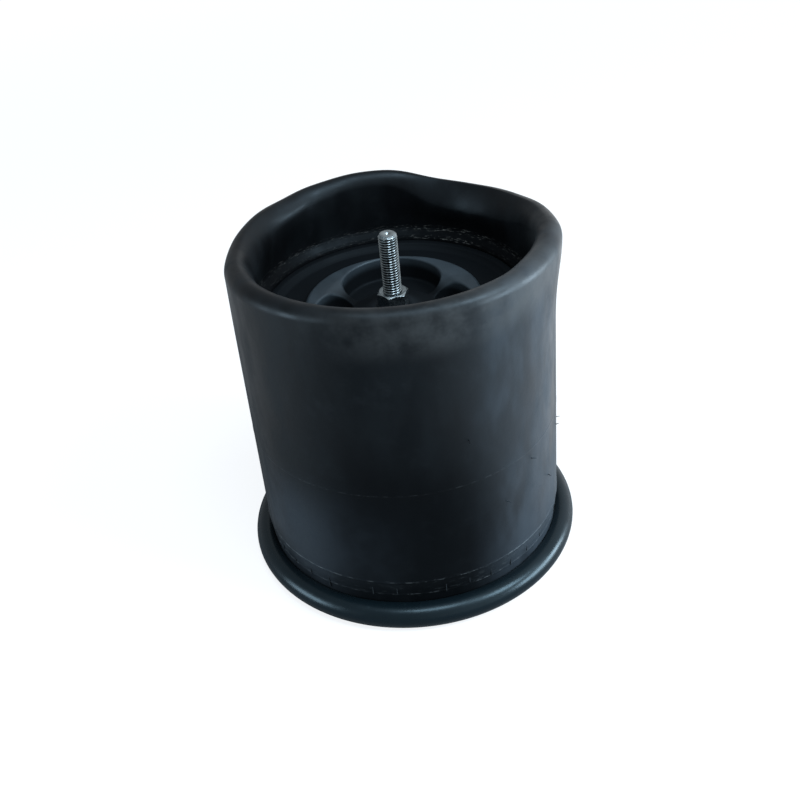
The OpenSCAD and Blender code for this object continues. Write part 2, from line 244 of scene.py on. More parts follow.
def new_material(name, follows=False):
    """A material with an empty tree, and the coordinates of its patterns: the object's, or those that a piece
    keeps from rest in an attribute."""
    material = bpy.data.materials.new(name)
    material.use_nodes = True
    tree = material.node_tree
    tree.nodes.clear()
    if follows:
        place = add_node(tree, "ShaderNodeAttribute", output="Vector", attribute_name=REST_PLACE)
    else:
        place = add_node(tree, "ShaderNodeTexCoord", output="Object")
    return material, tree, place


def close_material(material, inputs):
    """Ends a material's tree with its shader and its output."""
    shader = add_node(material.node_tree, "ShaderNodeBsdfPrincipled", inputs)
    add_node(material.node_tree, "ShaderNodeOutputMaterial", (shader,))
    return material


# A range that is mapped with soft ends
SOFT = {"interpolation_type": "SMOOTHSTEP"}


def overlap(tree, *masks):
    """Product of masks, which is 1 only where all of them are."""
    share = masks[0]
    for mask in masks[1:]:
        share = add_node(tree, "ShaderNodeMath", (share, mask), operation="MULTIPLY")
    return share


def layer(tree, base, colour, *masks):
    """Lays a colour over another, as far as the product of the masks says."""
    inputs = {0: overlap(tree, *masks), 6: base, 7: colour}
    return add_node(tree, "ShaderNodeMix", inputs, 2, data_type="RGBA")


def patches(tree, place, size, start, full, detail=2.0, roughness=0.5, least=0.0, most=1.0, squeeze=1.0):
    """Cloudy patches with features of this size in millimetres, squeezed in height: least where the noise is
    under the start and most where it is over the full value."""
    squeezed = add_node(tree, "ShaderNodeMapping", {0: place, 3: (1, 1, squeeze)})
    clouds = add_node(tree, "ShaderNodeTexNoise", {
        "Vector": squeezed, "Scale": per_mm(size), "Detail": detail, "Roughness": roughness})
    return add_node(tree, "ShaderNodeMapRange", (clouds, start, full, least, most), **SOFT)


def grained(tree, place, size, height, strength, normal=None):
    """Normal of a surface with soft bumps of this size and height in millimetres, over another normal."""
    bumps = add_node(tree, "ShaderNodeTexNoise", {"Vector": place, "Scale": per_mm(size)})
    inputs = {"Height": bumps, "Distance": height * MM, "Strength": strength}
    if normal:
        inputs["Normal"] = normal
    return add_node(tree, "ShaderNodeBump", inputs)


def band(tree, value, middle, half_width, fade):
    """1 near the middle value, 0 away from it."""
    offset = add_node(tree, "ShaderNodeMath", (value, middle), operation="SUBTRACT")
    away = add_node(tree, "ShaderNodeMath", (offset,), operation="ABSOLUTE")
    return add_node(tree, "ShaderNodeMapRange", (away, half_width + fade, half_width), **SOFT)


def axis_distance(tree, place):
    level = add_node(tree, "ShaderNodeVectorMath", (place, (1.0, 1.0, 0.0)), operation="MULTIPLY")
    return add_node(tree, "ShaderNodeVectorMath", (level,), "Value", operation="LENGTH")


def towards(tree, place, degrees, start, full, least=0.0):
    """1 past the full distance from the axis in this direction, and least short of the start."""
    way = (math.cos(math.radians(degrees)), math.sin(math.radians(degrees)), 0.0)
    distance = add_node(tree, "ShaderNodeVectorMath", (place, way), "Value", operation="DOT_PRODUCT")
    return add_node(tree, "ShaderNodeMapRange", (distance, start, full, least), **SOFT)


# Directions from the axis, in degrees from +X, of the rubber's uneven marks and of its painted sheen,
# highlight and shade
CHALK_WAY, BEND_WAY, RIGHT_WAY, SHADE_AND_MATT_WAY, LEFT_WAY = 62, -52, -35, -92, -130


def bloom_and_painted_sheen(tree, place, base, height, clouds):
    """Paler patches on the right side and low on the left: painted sheen where the light falls there, patchy
    like wax bloom.
    """
    right = overlap(tree, towards(tree, place, RIGHT_WAY, 0.78 * WALL_R, 0.99 * WALL_R),
                    patches(tree, place, 34, 0.37, 0.6, 3.0, 0.55, least=0.3, squeeze=0.4))
    cloudy = add_node(tree, "ShaderNodeMapRange", (clouds, 0.35, 0.6, 0.45), **SOFT)
    left = overlap(tree, towards(tree, place, LEFT_WAY, 0.75 * WALL_R, 0.97 * WALL_R),
                   band(tree, height, 55 * MM, 8 * MM, 55 * MM), cloudy)
    return layer(tree, base, "#2a3138", add_node(tree, "ShaderNodeMath", (right, left), operation="MAXIMUM"))


def scuffs_and_bend_highlight(tree, place, base, height):
    """Scuffs on the parting lines, shreds of flash between the neck's two, and a grey band on the front of
    the bend, which is a painted highlight and also rubber greyed by flexing.
    """
    on_line = overlap(tree, band(tree, height, settings("sleeve").line_height, 0.1 * MM, 0.5 * MM), 0.3)
    for z in (NECK_LINE, NECK_TOP):
        at_neck = band(tree, height, z, 0.2 * MM, 0.5 * MM)
        on_line = add_node(tree, "ShaderNodeMath", (on_line, at_neck), operation="MAXIMUM")
    base = layer(tree, base, "#666c70", 0.6, on_line, patches(tree, place, 6, 0.48, 0.66, 5.0, 0.7))
    between = band(tree, height, (NECK_LINE + NECK_TOP) / 2, 6 * MM, 2 * MM)
    shreds = patches(tree, place, 7, 0.56, 0.66, 4.0, 0.7, squeeze=4)
    base = layer(tree, base, "#3e4447", 0.5, between, shreds)
    # Grey band under the crest, on the front: a painted highlight, and rubber greyed by flexing
    return layer(tree, base, "#3c3f41", 0.8, band(tree, height, CREST_Z - 11 * MM, 3 * MM, 20 * MM),
                 patches(tree, place, 30, 0.3, 0.65, 4.0, 0.6),
                 towards(tree, place, BEND_WAY, 0.1 * WALL_R, 0.97 * WALL_R))


def chalked(tree, place, base, height):
    """Chalk that is rubbed on the inner wall where the small bead starts, most of it at the back right."""
    most = towards(tree, place, CHALK_WAY, 0.9 * INNER_R, 0.98 * INNER_R, 0.35)
    upper = overlap(tree, band(tree, height, SHOULDER_Z - 1.5 * MM, 0.6 * MM, 2.0 * MM), 0.55)
    # A second row lies on the small bead's shoulder
    lower = overlap(tree, band(tree, height, SHOULDER_Z - 7 * MM, 0.6 * MM, 1.2 * MM), most)
    rows = add_node(tree, "ShaderNodeMath", (upper, lower), operation="MAXIMUM")
    inner_side = (axis_distance(tree, place), INNER_R + 2 * MM, INNER_R + 1 * MM)
    inside = add_node(tree, "ShaderNodeMapRange", inner_side, **SOFT)
    flecks = patches(tree, place, 4, 0.55, 0.66, 3.0, 0.7, squeeze=6)
    return layer(tree, base, "#8c8f8d", 0.8, inside, rows, flecks, most)


def moulded_rubber(name="moulded_chloroprene_rubber", colour=None, worn=True, gloss=0.25, follows=False):
    """Chloroprene rubber cured in a polished mould: near black, satin, with bloom and handling marks; when
    worn, it also has painted sheen, a painted highlight on the bend and painted shade low in front.
    """
    material, tree, place = new_material(name, follows)
    clouds = add_node(tree, "ShaderNodeTexNoise", {"Vector": place, "Scale": per_mm(45), "Detail": 4.0})
    tall = add_node(tree, "ShaderNodeMapping", {0: place, 3: (1, 1, 0.35)})
    smears = add_node(tree, "ShaderNodeTexNoise", {"Vector": tall, "Scale": per_mm(16), "Detail": 3.0})
    cloudy = add_node(tree, "ShaderNodeMapRange", (clouds, 0.35, 0.75), **SOFT)
    base = layer(tree, colour or settings("sleeve").colour, "#0d1114", 0.5, cloudy)
    rough = add_node(tree, "ShaderNodeMapRange", (smears, 0.3, 0.72, 0.34, 0.52), **SOFT)
    level = gloss
    if worn:
        height = add_node(tree, "ShaderNodeSeparateXYZ", (place,), "Z")
        # Grey smudges and dust that handling leaves in patches
        dusty = add_node(tree, "ShaderNodeMapRange", (clouds, 0.4, 0.7), **SOFT)
        dust = overlap(tree, patches(tree, place, 12, 0.5, 0.75, 6.0, 0.68), dusty)
        smeared = add_node(tree, "ShaderNodeMapRange", (smears, 0.45, 0.75), **SOFT)
        base = layer(tree, layer(tree, base, "#3a4045", 0.12, dust), "#12171b", 0.15, smeared)
        # Painted sheen on the right side and low on the left, in patches like bloom
        base = bloom_and_painted_sheen(tree, place, base, height, clouds)
        base = scuffs_and_bend_highlight(tree, place, base, height)
        base = chalked(tree, place, base, height)
        # Low in front the rubber is painted darker, as shade, and its gloss is lowered
        low_down = add_node(tree, "ShaderNodeMapRange", (height, 190 * MM, 60 * MM), **SOFT)
        matt = overlap(tree, towards(tree, place, SHADE_AND_MATT_WAY, 0.72 * WALL_R, 0.98 * WALL_R), low_down)
        base = layer(tree, base, "#07090b", 0.5, matt)
        level = add_node(tree, "ShaderNodeMapRange", (matt, 0.0, 1.0, gloss, 0.3 * gloss), **SOFT)
        rough = add_node(tree, "ShaderNodeMath", (rough, overlap(tree, dust, 0.15)), operation="ADD")
    return close_material(material, {
        "Base Color": base,
        "Roughness": rough,
        # Grain 0.6 mm across, so that it still shows, on a faint ripple
        "Normal": grained(tree, place, 9, 0.25, 0.5, grained(tree, place, 0.6, 0.03, 0.4)),
        "Specular IOR Level": level,
        "Specular Tint": "#c3d8e6",
        # Bloom, which shows where the surface is seen at a low angle
        "Sheen Weight": add_node(tree, "ShaderNodeMapRange", (smears, 0.3, 0.72, 0.0, 0.12 * gloss), **SOFT),
        "Sheen Roughness": 0.4,
        "Sheen Tint": "#a9c4d6"})


def calendered_rubber():
    """Calendered liner rubber: matt, with the grain of the cloth that it was rolled on."""
    material, tree, place = new_material("calendered_liner_rubber")
    # The cloth's threads are drawn about 2.5 mm apart, so that they show
    inputs = {"Vector": place, "Scale": per_mm(8), "Distortion": 0.6}
    threads = [add_node(tree, "ShaderNodeTexWave", inputs, "Fac", bands_direction=way)
               for way in ("Z", "DIAGONAL")]
    cloth = {"Height": add_node(tree, "ShaderNodeMath", threads, operation="ADD"),
             "Distance": 0.08 * MM, "Strength": 0.5}
    return close_material(material, {
        "Base Color": layer(tree, "#1a1b1c", "#2a2b2c", patches(tree, place, 20, 0.3, 0.7, 3.0)),
        "Roughness": 0.75,
        "Normal": add_node(tree, "ShaderNodeBump", cloth)})


def cord_fabric():
    """Rubberised polyamide cord: parallel cords under a skin of rubber, drawn 2 mm apart to show."""
    material, tree, place = new_material("rubberised_cord_fabric")
    inputs = {"Vector": place, "Scale": per_mm(6.3), "Distortion": 0.3}
    cords = add_node(tree, "ShaderNodeTexWave", inputs, "Fac", bands_direction="DIAGONAL")
    ridges = add_node(tree, "ShaderNodeMapRange", (cords, 0.35, 0.75), **SOFT)
    return close_material(material, {
        "Base Color": layer(tree, "#2a2723", "#6d6552", ridges),
        "Roughness": 0.7,
        "Normal": add_node(tree, "ShaderNodeBump", {"Height": cords, "Distance": 0.3 * MM, "Strength": 0.7})})


def black_paint():
    """Electrophoretic black paint on pressed steel: glossy, with faint orange peel and scuffs."""
    material, tree, place = new_material("black_cathodic_paint")
    scuffs = patches(tree, place, 5, 0.6, 0.8, 6.0, 0.7, squeeze=4)
    rough = patches(tree, place, 18, 0.3, 0.7, 4.0, least=0.24, most=0.32)
    return close_material(material, {
        "Base Color": layer(tree, settings("plate").paint, "#2a363c", 0.4, scuffs),
        "Roughness": add_node(tree, "ShaderNodeMath", (rough, overlap(tree, scuffs, 0.2)), operation="ADD"),
        "Normal": grained(tree, place, 1.8, 0.05, 0.35),
        "Specular IOR Level": 0.4,
        "Specular Tint": "#bcd8e6"})


def plain_metal(name, colour, dark, rough, speck=0.8, root_shade=0.0):
    """A bare or plated metal surface: its colour clouded by the darker one, with fine specks in its gloss."""
    material, tree, place = new_material(name)
    base = layer(tree, colour, dark, patches(tree, place, 5, 0.4, 0.7, 4.0, 0.6))
    # Painted shade darkens the roots of the stud's thread, below its end
    height = add_node(tree, "ShaderNodeSeparateXYZ", (place,), "Z")
    thread_depth = (axis_distance(tree, place), STUD_R - 0.2 * MM, STUD_R - 0.8 * MM)
    in_root = add_node(tree, "ShaderNodeMapRange", thread_depth, **SOFT)
    below_end = add_node(tree, "ShaderNodeMapRange", (height, STUD_TOP - 2 * MM, STUD_TOP - 3 * MM), **SOFT)
    return close_material(material, {
        "Base Color": layer(tree, base, "#1e2628", root_shade, in_root, below_end),
        "Roughness": patches(tree, place, speck, 0.3, 0.7, 3.0, least=rough - 0.08, most=rough + 0.1),
        "Normal": grained(tree, place, speck, 0.02, 0.3),
        "Metallic": 1.0})


def moulded_nylon():
    """Glass-filled nylon from a spark-eroded mould: satin dark grey with a fine even texture."""
    material, tree, place = new_material("glass_filled_nylon")
    flow = add_node(tree, "ShaderNodeTexNoise", {
        "Vector": place, "Scale": per_mm(25), "Detail": 4.0, "Roughness": 0.6, "Distortion": 0.6})
    # Pockets, groove and edge are painted dark, as shade in the hollows; the tops inside the ring's edge are
    # painted paler, as lit, and are made smoother and glossier
    in_ring = (axis_distance(tree, place), RING_OUT_R + 1 * MM, RING_OUT_R - 1 * MM)
    high_up = (add_node(tree, "ShaderNodeSeparateXYZ", (place,), "Z"), SEAT_Z - 2 * MM, RING_Z - 1 * MM)
    rubbed = overlap(tree, *(
        add_node(tree, "ShaderNodeMapRange", span, **SOFT) for span in (in_ring, high_up)))
    flowing = add_node(tree, "ShaderNodeMapRange", (flow, 0.3, 0.75), **SOFT)
    pale = layer(tree, settings("plate").colour, "#313a41", flowing)
    rough = add_node(tree, "ShaderNodeMapRange", (flow, 0.3, 0.7, 0.6, 0.68), **SOFT)
    smoothed = (rough, overlap(tree, rubbed, 0.16))
    return close_material(material, {
        # Dark colour where painted shade falls, the paler one on the tops painted as lit
        "Base Color": layer(tree, "#0b0e11", pale, rubbed),
        "Roughness": add_node(tree, "ShaderNodeMath", smoothed, operation="SUBTRACT"),
        # Spark texture, 0.5 mm across so that it still shows
        "Normal": grained(tree, place, 0.5, 0.03, 0.5),
        "Specular IOR Level": add_node(tree, "ShaderNodeMapRange", (rubbed, 0.0, 1.0, 0.12, 0.55), **SOFT),
        "Specular Tint": "#c3d8e6"})


def make_materials():
    """All finishes, by the record's material slot, and the beads' own."""
    return {
        "rubber_cover": moulded_rubber(follows=True),
        "rubber_liner": calendered_rubber(),
        # Bead rubber, cured against steel and nylon: duller than the wall
        "rubber_bead": moulded_rubber("dull_bead_rubber", "#08090b", gloss=0.08),
        # Bumper rubber, which nothing has rubbed: brownish black
        "rubber_bumper": moulded_rubber("moulded_bumper_rubber", "#1b1a19", worn=False),
        "cord_ply": cord_fabric(),
        "black_paint": black_paint(),
        # Cold-rolled steel, left as it comes: dull grey with an oily mottle
        "bare_steel": plain_metal("cold_rolled_steel", "#8f9499", "#6c7176", 0.42, 1.5),
        # Bronze-coated bead wire
        "bead_wire": plain_metal("bronzed_bead_wire", "#a08a68", "#7d6a4e", 0.35),
        # Zinc plate, blue passivated: pale bluish grey, half bright
        # The roots of its thread get painted shade
        "zinc_plate": plain_metal(
            "blue_passivated_zinc", settings("stud").colour, "#78848a", 0.32, root_shade=0.9),
        "moulded_nylon": moulded_nylon(),
    }


MATERIALS = {}


def new_piece(name, points, faces, slot, sharp=40):
    """Makes a closed mesh piece, shaded smooth except over edges sharper than this many degrees."""
    mesh = bpy.data.meshes.new(name)
    mesh.from_pydata([tuple(p) for p in points], [], faces)
    mesh.validate()
    work = bmesh.new()
    work.from_mesh(mesh)
    bmesh.ops.remove_doubles(work, verts=work.verts, dist=1e-7)
    bmesh.ops.recalc_face_normals(work, faces=work.faces)
    if work.calc_volume(signed=True) < 0:
        bmesh.ops.reverse_faces(work, faces=work.faces)
    work.to_mesh(mesh)
    work.free()
    mesh.shade_smooth()
    mesh.set_sharp_from_angle(angle=math.radians(sharp))
    mesh.materials.append(MATERIALS[slot])
    piece = add_object(name, mesh)
    return piece


def stand_in(piece, body, *nodes):
    """Rides a finished piece on its body, in place of these nodes."""
    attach(piece, body)
    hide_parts(*nodes)


def turned(rows, bore=False, poles=True, centre=(0.0, 0.0), first=0, steps=96):
    """Turns rows of (radius, height) about an upright axis. Each may be a number or hold a value per step.
    With a bore the last row joins the first. Otherwise poles close the ends, or they stay open.
    Gives points and faces, whose numbering starts at first."""
    steps = max([np.size(v) for row in rows for v in row if np.size(v) > 1], default=steps)
    turn = divided_turn(steps)
    points = []
    for radius, height in rows:
        radius, height = np.broadcast_to(radius, steps), np.broadcast_to(height, steps)
        points += list(zip(centre[0] + radius * np.cos(turn), centre[1] + radius * np.sin(turn), height))
    count = len(rows)
    pairs = [(k, k + 1) for k in range(count - 1)] + ([(count - 1, 0)] if bore else [])
    faces = [(a * steps + j, a * steps + (j + 1) % steps, b * steps + (j + 1) % steps, b * steps + j)
             for a, b in pairs for j in range(steps)]
    if poles and not bore:
        for row in (0, count - 1):
            pole = len(points)
            points.append((*centre, float(np.mean(rows[row][1]))))
            faces += [(row * steps + j, row * steps + (j + 1) % steps, pole) for j in range(steps)]
    return points, [tuple(first + i for i in face) for face in faces]


def lathe(name, rows, slot, bore=False, sharp=40):
    return new_piece(name, *turned(rows, bore), slot, sharp)


def smooth(t):
    t = np.clip(t, 0, 1)
    return t * t * (3 - 2 * t)


def around(stations, angles):
    """Smooth closed curve through values that stand evenly round the axis, at these angles."""
    values = np.array(stations, float)
    t = angles / TURN * len(values)
    i, f = t.astype(int), t - t.astype(int)
    a, b, c, d = (values[(i + k) % len(values)] for k in (-1, 0, 1, 2))
    return b + 0.5 * f * (c - a + f * (2 * a - 5 * b + 4 * c - d + f * (3 * (b - c) + d - a)))


LIP_WAVES = ((0.6, 7, 1.2), (0.5, 11, 4.0), (0.35, 17, 2.5))


def slackened(stations, drawn, angles, ripple=0.0):
    """Lip values in metres, between the drawn round lobe and the slack one. The ripple is in millimetres."""
    slack = settings("sleeve").slack
    # Three uneven waves round the lip, by size, number and phase
    waves = sum(size * np.sin(number * angles + phase) for size, number, phase in LIP_WAVES)
    return (drawn + slack * (around(stations, angles) - drawn + ripple * waves)) * MM


def wall_rows(bottom):
    """Heights of the wall's rows: closer in the flare and over the parting lines."""
    line = settings("sleeve").line_height
    lines = [z + d * MM for z in (NECK_LINE, NECK_TOP, line) for d in (-1, -0.5, -0.25, 0, 0.25, 0.5, 1)]
    flare, wall = np.arange(bottom, NECK_TOP, 2 * MM), np.arange(NECK_TOP, LEAN_Z, 4 * MM)
    return np.unique(np.round(np.concatenate([flare, wall, lines, [LEAN_Z]]), 6))


def wall_face(z, line_rise):
    """Radius of the wall under the lobe: neck, flare, wall, and a small ridge at each parting line."""
    radius = NECK_R + (WALL_R - NECK_R) * smooth((z - RIM_TOP) / (NECK_TOP - RIM_TOP))
    for line, rise in ((NECK_LINE, 2), (NECK_TOP, 2.5), (settings("sleeve").line_height, 1)):
        radius = radius + rise * line_rise * np.exp(-((z - line) / (0.4 * MM)) ** 2)
    return radius


def sleeve_sections(angles, bottom, line_rise=0.0):
    """Outer face of the sleeve at each angle: up the wall, over the lobe and down into the small bead.
    Gives its points and outward normals as (angles, points, 2), and the index of the fold's first point."""
    half_drawn = (WALL_R - INNER_R) / 2 / MM
    crest, outside, inside, outside_depth, inside_depth, power = (v.reshape(len(angles), 1) for v in (
        CREST_Z + slackened(CREST_RISE, 0, angles, 0.25),
        slackened(FOLD_OUTSIDE, WALL_R / MM, angles, 0.2),
        slackened(FOLD_INSIDE, INNER_R / MM, angles, 0.6),
        slackened(OUTSIDE_DEPTH, half_drawn, angles),
        slackened(INSIDE_DEPTH, half_drawn, angles),
        slackened(INSIDE_SLOPE, 1, angles) / MM))
    height = wall_rows(bottom)
    wall_z = np.broadcast_to(height, (len(angles), len(height)))
    wall_r = np.broadcast_to(wall_face(height, line_rise), wall_z.shape)
    u = np.linspace(0, 1, 17)[1:-1]
    lean_z = LEAN_Z + (crest - outside_depth - LEAN_Z) * u
    lean_r = WALL_R + (outside - WALL_R) * smooth(u) ** 3
    phi = np.linspace(0, math.pi, 97)
    over_inside = phi > math.pi / 2
    depth = np.where(over_inside, inside_depth, outside_depth)
    power = np.where(over_inside, power, 1.0)
    across = np.sign(np.cos(phi)) * np.abs(np.cos(phi)) ** power
    fold_r = (outside + inside) / 2 + (outside - inside) / 2 * across
    fold_z = crest - depth + depth * np.clip(np.sin(phi), 0, 1) ** power
    u = np.linspace(0, 1, 40)[1:]
    behind = INNER_R + TAIL_INSET
    drop_z = crest - inside_depth + (SHOULDER_Z - crest + inside_depth) * u
    drop_r = inside + (behind - inside) * smooth(u)
    tail_z = np.broadcast_to(np.linspace(SHOULDER_Z, TAIL_Z, 6)[1:], (len(angles), 5))
    tail_r = np.full(tail_z.shape, behind)
    r = np.concatenate([wall_r, lean_r, fold_r, drop_r, tail_r], axis=1)
    z = np.concatenate([wall_z, lean_z, fold_z, drop_z, tail_z], axis=1)
    dr, dz = np.gradient(r, axis=1), np.gradient(z, axis=1)
    long = np.hypot(dr, dz)
    return np.stack([r, z], 2), np.stack([dz / long, -dr / long], 2), len(height) + lean_z.shape[1]


def resample(values, at, wanted):
    return np.stack([np.interp(wanted, at, values[:, k]) for k in range(values.shape[1])], 1)


def split_at_seam(points, normals, first, fold_rows, inner_rows):
    """Splits the sections at the seam. Gives (points, normals) of the outer skin and of the inner one."""
    skins = [[], [], [], []]
    for line, normal in zip(points, normals):
        step = np.hypot(*np.diff(line[first:], axis=0).T)
        at = np.concatenate([[0], np.cumsum(step)])
        crest = int(np.argmax(line[first:, 1]))
        seam = at[crest] + SEAM_PAST_CREST
        for k, values in enumerate((line, normal)):
            over = resample(values[first:], at, np.linspace(0, seam, fold_rows))
            skins[k].append(np.concatenate([values[:first], over]))
            skins[2 + k].append(resample(values[first:], at, np.linspace(seam, at[-1], inner_rows)))
    return [np.array(s) for s in skins]


def shell(name, angles, points, normals, depth_1, depth_2, slot, thin_rows=2):
    """Closed skin of a sleeve layer between two depths under the sleeve's outer face."""
    outer = points - depth_1 * normals
    # The hidden face needs fewer rows, and keeps both ends
    keep = sorted(set(range(0, points.shape[1], thin_rows)) | {points.shape[1] - 1})
    inner = (points - depth_2 * normals)[:, keep[::-1]]
    loop = np.concatenate([outer, inner], axis=1)
    steps, count = loop.shape[:2]
    cos, sin = np.cos(angles)[:, None], np.sin(angles)[:, None]
    xyz = np.stack([loop[..., 0] * cos, loop[..., 0] * sin, loop[..., 1]], 2).reshape(-1, 3)
    faces = [(j * count + k, (j + 1) % steps * count + k, (j + 1) % steps * count + (k + 1) % count,
              j * count + (k + 1) % count) for j in range(steps) for k in range(count)]
    return new_piece(name, xyz, faces, slot)


def keep_rest_place(piece):
    """Stores where each point lies at rest."""
    at_rest = piece.data.attributes.new(REST_PLACE, "FLOAT_VECTOR", "POINT")
    at_rest.data.foreach_set("vector", np.array([v.co for v in piece.data.vertices]).ravel())


def blend_wall(piece):
    """Stores where a piece's points lie at rest, and bakes its transform into its mesh."""
    keep_rest_place(piece)
    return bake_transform(piece)


def blend_inner(piece):
    """Stores where the inner wall's points lie at rest, and bakes its transform into its mesh."""
    keep_rest_place(piece)
    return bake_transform(piece)


LAYERS = {"cover": "rubber_cover", "outer_ply": "cord_ply", "inner_ply": "cord_ply", "liner": "rubber_liner"}


class AIRSPRING_OT_sleeve(bpy.types.Operator):
    """Make the sleeve's four layers, each as an outer skin over the lobe and an inner one under it"""
    bl_idname = "airspring.sleeve"
    bl_label = "Sleeve"

    def execute(self, context):
        line_rise = settings("sleeve").line_rise
        for name, slot in LAYERS.items():
            inner_face, outer_face = reach("outer_roll_" + name)
            shown = name == "cover"
            steps = 360 if shown else 120
            angles = divided_turn(steps)
            points, normals, first = sleeve_sections(angles, low("wall_" + name), line_rise if shown else 0.0)
            skins = split_at_seam(points, normals, first, *((44, 84) if shown else (18, 32)))
            depths = WALL_R - outer_face, WALL_R - inner_face
            outer = blend_wall(shell("sleeve_wall_" + name, angles, *skins[:2], *depths, slot))
            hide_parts("wall_" + name, "outer_roll_" + name, "lobe_" + name)
            inner = blend_inner(shell("sleeve_inner_" + name, angles, *skins[2:], *depths, slot))
            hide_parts("inner_roll_" + name)
        return {"FINISHED"}


def set_input(modifier, tree, name, value):
    """Sets a modifier's input by its socket's identifier."""
    for item in tree.interface.items_tree:
        if item.item_type == "SOCKET" and item.in_out == "INPUT" and item.name == name:
            modifier[item.identifier] = value


def ring_tree(name, seed, *sizes):
    """Starts a geometry tree that repeats a mark round the axis, with its material and sizes as inputs.
    Gives the tree, its inputs, the ring's points, and each mark's own height in the spread."""
    tree = bpy.data.node_groups.new(name, "GeometryNodeTree")
    tree.interface.new_socket("Geometry", in_out="OUTPUT", socket_type="NodeSocketGeometry")
    kinds = {"Count": "Int", "Material": "Material"}
    for label in ("Count", "Material", "Radius", "Middle", "Spread", "Length", *sizes):
        kind = "NodeSocket" + kinds.get(label, "Float")
        tree.interface.new_socket(label, in_out="INPUT", socket_type=kind)
    inputs = tree.nodes.new("NodeGroupInput").outputs
    ring = add_node(tree, "GeometryNodeMeshCircle", {"Vertices": inputs["Count"], "Radius": inputs["Radius"]})
    down, up = (add_node(tree, "ShaderNodeMath", (inputs["Spread"], share), operation="MULTIPLY")
                for share in (-0.5, 0.5))
    offset = add_node(tree, "FunctionNodeRandomValue", {2: down, 3: up, "Seed": seed}, 1)
    return tree, inputs, ring, offset


def close_tree(tree, inputs, instances, offset):
    """Lifts the marks to the middle height and their own offset, and makes them real and of a material."""
    height = add_node(tree, "ShaderNodeMath", (inputs["Middle"], offset), operation="ADD")
    lifted = add_node(tree, "GeometryNodeTranslateInstances", {
        "Instances": instances, "Translation": add_node(tree, "ShaderNodeCombineXYZ", {2: height}),
        "Local Space": False})
    real = add_node(tree, "GeometryNodeRealizeInstances", (lifted,))
    done = add_node(tree, "GeometryNodeSetMaterial", {"Geometry": real, "Material": inputs["Material"]})
    add_node(tree, "NodeGroupOutput", (done,))
    return tree


def bake_tree(name, tree, slot, material, **sizes):
    """Runs a geometry tree and keeps its result as a plain mesh piece."""
    host = add_object(name + "_host", bpy.data.meshes.new(name + "_host"))
    modifier = host.modifiers.new(name, "NODES")
    modifier.node_group = tree
    for label, value in sizes.items():
        set_input(modifier, tree, label.replace("_", " ").capitalize(), value)
    set_input(modifier, tree, "Material", material)
    evaluated = host.evaluated_get(bpy.context.evaluated_depsgraph_get())
    mesh = bpy.data.meshes.new_from_object(evaluated)
    host.modifiers.remove(modifier)
    bpy.data.objects.remove(host)
    piece = add_object(name, mesh)
    return piece


def outward(tree):
    """Rotation that turns an instance's X axis away from the spring's axis."""
    position = add_node(tree, "GeometryNodeInputPosition")
    return add_node(tree, "FunctionNodeAlignRotationToVector", {"Vector": position}, axis="X", pivot_axis="Z")


def flash_tree():
    """Upright flash marks round the neck, of uneven height. A third of them has come off."""
    tree, inputs, ring, offset = ring_tree("flash_marks", 3, "Depth", "Width")
    size = add_node(tree, "ShaderNodeCombineXYZ", (inputs["Depth"], inputs["Width"], inputs["Length"]))
    mark = add_node(tree, "GeometryNodeMeshCube", {"Size": size})
    share = add_node(tree, "FunctionNodeRandomValue", {2: 0.3, 3: 0.75, "Seed": 5}, 1)
    chance = add_node(tree, "FunctionNodeRandomValue", {2: 0.0, 3: 1.0, "Seed": 6}, 1)
    stays = add_node(tree, "FunctionNodeCompare", (chance, 0.33), data_type="FLOAT", operation="GREATER_THAN")
    marks = add_node(tree, "GeometryNodeInstanceOnPoints", {
        "Points": ring, "Selection": stays, "Instance": mark, "Rotation": outward(tree),
        "Scale": add_node(tree, "ShaderNodeCombineXYZ", (1.0, 1.0, share))})
    return close_tree(tree, inputs, marks, offset)


def whisker_tree():
    """Rubber whiskers that stand out of the wall at the mould's vents. Most have been rubbed off."""
    tree, inputs, ring, offset = ring_tree("vent_whiskers", 8, "Foot radius", "Tip radius")
    hair = add_node(tree, "GeometryNodeMeshCone", {
        "Vertices": 6, "Radius Top": inputs["Tip radius"], "Radius Bottom": inputs["Foot radius"],
        "Depth": inputs["Length"]})
    # The cone stands on its base; this lays it along X
    lying = add_node(tree, "GeometryNodeTransform", {"Geometry": hair, "Rotation": (0.0, math.pi / 2, 0.0)})
    lean = add_node(tree, "ShaderNodeCombineXYZ", {
        1: add_node(tree, "FunctionNodeRandomValue", {2: -0.9, 3: 0.9, "Seed": 11}, 1),
        2: add_node(tree, "FunctionNodeRandomValue", {2: -0.8, 3: 0.8, "Seed": 12}, 1)})
    leaning = add_node(tree, "FunctionNodeRotateRotation", (outward(tree), lean), rotation_space="LOCAL")
    across = add_node(tree, "ShaderNodeSeparateXYZ", (add_node(tree, "GeometryNodeInputPosition"),))
    at_right = add_node(tree, "FunctionNodeCompare", (across, 0.3 * WALL_R),
                        data_type="FLOAT", operation="GREATER_THAN")
    hairs = add_node(tree, "GeometryNodeInstanceOnPoints", {
        "Points": ring, "Selection": at_right, "Instance": lying, "Rotation": leaning})
    scale = add_node(tree, "ShaderNodeCombineXYZ", (
        add_node(tree, "FunctionNodeRandomValue", {2: 0.5, 3: 1.0, "Seed": 14}, 1), 1.0, 1.0))
    sized = add_node(tree, "GeometryNodeScaleInstances", {"Instances": hairs, "Scale": scale})
    return close_tree(tree, inputs, sized, offset)


